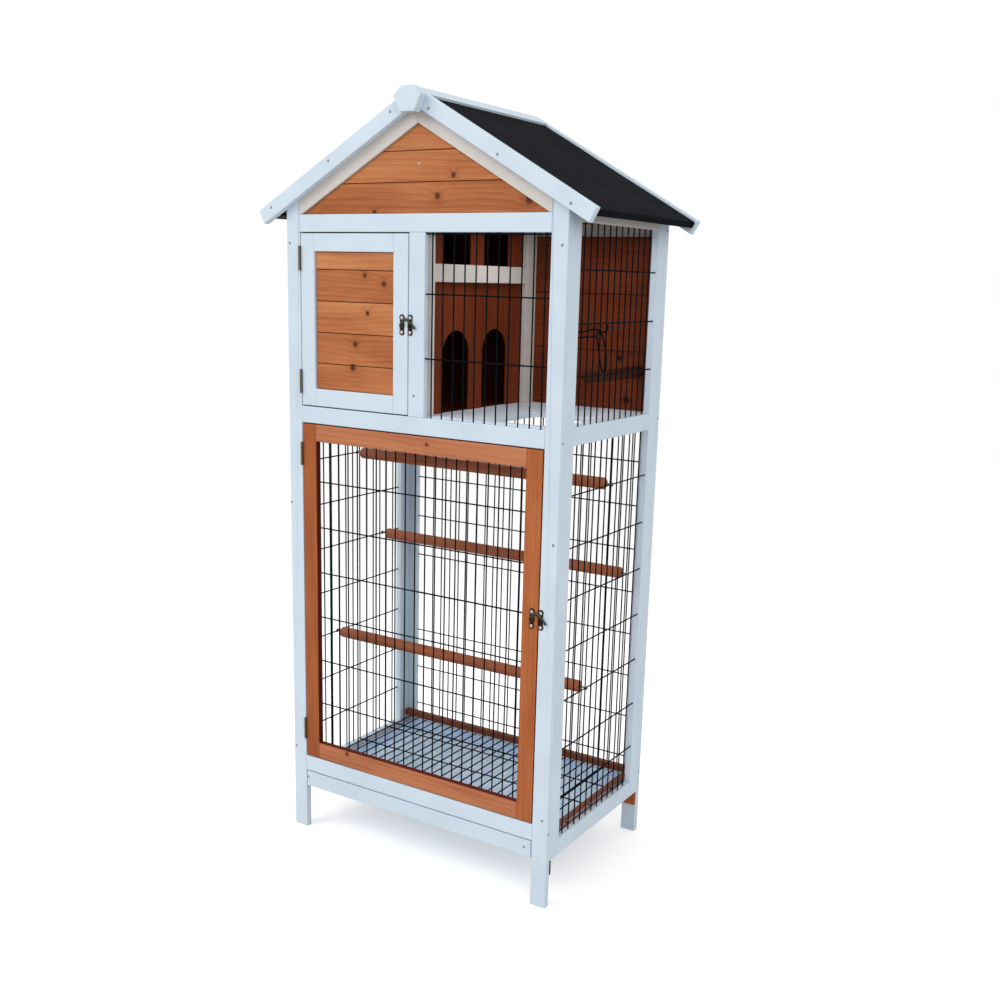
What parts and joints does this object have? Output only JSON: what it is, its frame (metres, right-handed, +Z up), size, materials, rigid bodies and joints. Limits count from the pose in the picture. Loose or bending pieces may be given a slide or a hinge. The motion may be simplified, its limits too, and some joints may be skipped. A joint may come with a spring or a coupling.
{
  "type": "bird cage",
  "caption": "Tall wooden bird cage on legs: wire-sided flight space with perches, upper room with nest box, hinged doors, slide-out tray, felted gable roof.",
  "frame": {"origin": "on the ground, under the middle of the whole object", "axes": "+Z up, the doors' side faces -Y, +X to the right as seen from the front"},
  "size_m": [0.798, 0.4809, 1.6005],
  "materials": {
    "white_painted_wood": "white paint on sawn fir, satin",
    "orange_plank": "orange-brown stained fir planks, satin",
    "red_brown_wood": "red-brown stained fir, satin",
    "perch_wood": "red-brown stained dowel, satin",
    "roof_felt": "bitumen felt, black, rough",
    "coated_wire": "dark blue-green coated welded wire",
    "galvanised": "galvanised sheet and wire",
    "antique_bronze": "dark antique bronze finish"
  },
  "bodies": {
    "cage": {"post_front_left": "white_painted_wood", "post_front_right": "white_painted_wood", "front_top_rail": "white_painted_wood", "front_middle_rail": "white_painted_wood", "front_bottom_rail": "white_painted_wood", "front_centre_post": "white_painted_wood", "gable_rakes_front": "white_painted_wood", "back_frame": "white_painted_wood", "side_frame_left": "white_painted_wood", "side_frame_right": "white_painted_wood", "nest_frame": "white_painted_wood", "bargeboard_front_left": "white_painted_wood", "bargeboard_front_right": "white_painted_wood", "bargeboard_back_left": "white_painted_wood", "bargeboard_back_right": "white_painted_wood", "ridge_cap": "white_painted_wood", "upper_floor": "white_painted_wood", "gable_planks_front": "orange_plank", "gable_planks_back": "orange_plank", "back_planks": "orange_plank", "left_planks": "orange_plank", "nest_wall": "orange_plank", "nest_shelf": "orange_plank", "floor_batten_back": "red_brown_wood", "floor_batten_right": "red_brown_wood", "tray_runner_left": "red_brown_wood", "tray_runner_right": "red_brown_wood", "perch_1": "perch_wood", "perch_2": "perch_wood", "perch_3": "perch_wood", "perch_upper": "perch_wood", "roof_panel_left": "roof_felt", "roof_panel_right": "roof_felt", "window_mesh": "coated_wire", "side_mesh_upper_right": "coated_wire", "side_mesh_lower_right": "coated_wire", "side_mesh_lower_left": "coated_wire", "back_mesh": "coated_wire", "floor_mesh": "coated_wire", "food_clip": "coated_wire", "upper_door_hinge_upper_frame_leaf": "antique_bronze", "upper_door_hinge_lower_frame_leaf": "antique_bronze", "lower_door_hinge_upper_frame_leaf": "antique_bronze", "lower_door_hinge_lower_frame_leaf": "antique_bronze", "upper_latch_keeper": "antique_bronze", "lower_latch_keeper": "antique_bronze"},
    "upper_door": {"upper_door_frame": "white_painted_wood", "upper_door_planks": "orange_plank", "upper_latch_plate": "antique_bronze", "upper_door_hinge_upper_door_leaf": "antique_bronze", "upper_door_hinge_lower_door_leaf": "antique_bronze"},
    "lower_door": {"lower_door_frame": "red_brown_wood", "lower_door_mesh": "coated_wire", "lower_latch_plate": "antique_bronze", "lower_door_hinge_upper_door_leaf": "antique_bronze", "lower_door_hinge_lower_door_leaf": "antique_bronze"},
    "upper_hook": {"upper_latch_hook": "antique_bronze"},
    "lower_hook": {"lower_latch_hook": "antique_bronze"},
    "tray": {"tray_pan": "galvanised", "tray_front": "white_painted_wood"}
  },
  "joints": [
    {"name": "upper_door_hinge", "type": "hinge", "parent": "cage", "child": "upper_door", "pos_m": [-0.29975, -0.20785, 0.978], "axis": [0, 0, -1], "range_deg": [0, 160]},
    {"name": "lower_door_hinge", "type": "hinge", "parent": "cage", "child": "lower_door", "pos_m": [-0.29975, -0.20785, 0.179], "axis": [0, 0, -1], "range_deg": [0, 160]},
    {"name": "upper_hook_pivot", "type": "hinge", "parent": "upper_door", "child": "upper_hook", "pos_m": [-0.0343, -0.20485, 1.155], "axis": [0, -1, 0], "range_deg": [0, 100]},
    {"name": "lower_hook_pivot", "type": "hinge", "parent": "lower_door", "child": "lower_hook", "pos_m": [0.2852, -0.20485, 0.606], "axis": [0, -1, 0], "range_deg": [0, 100]},
    {"name": "tray_slide", "type": "slide", "parent": "cage", "child": "tray", "axis": [0, -1, 0], "range_m": [0, 0.36]}
  ]
}
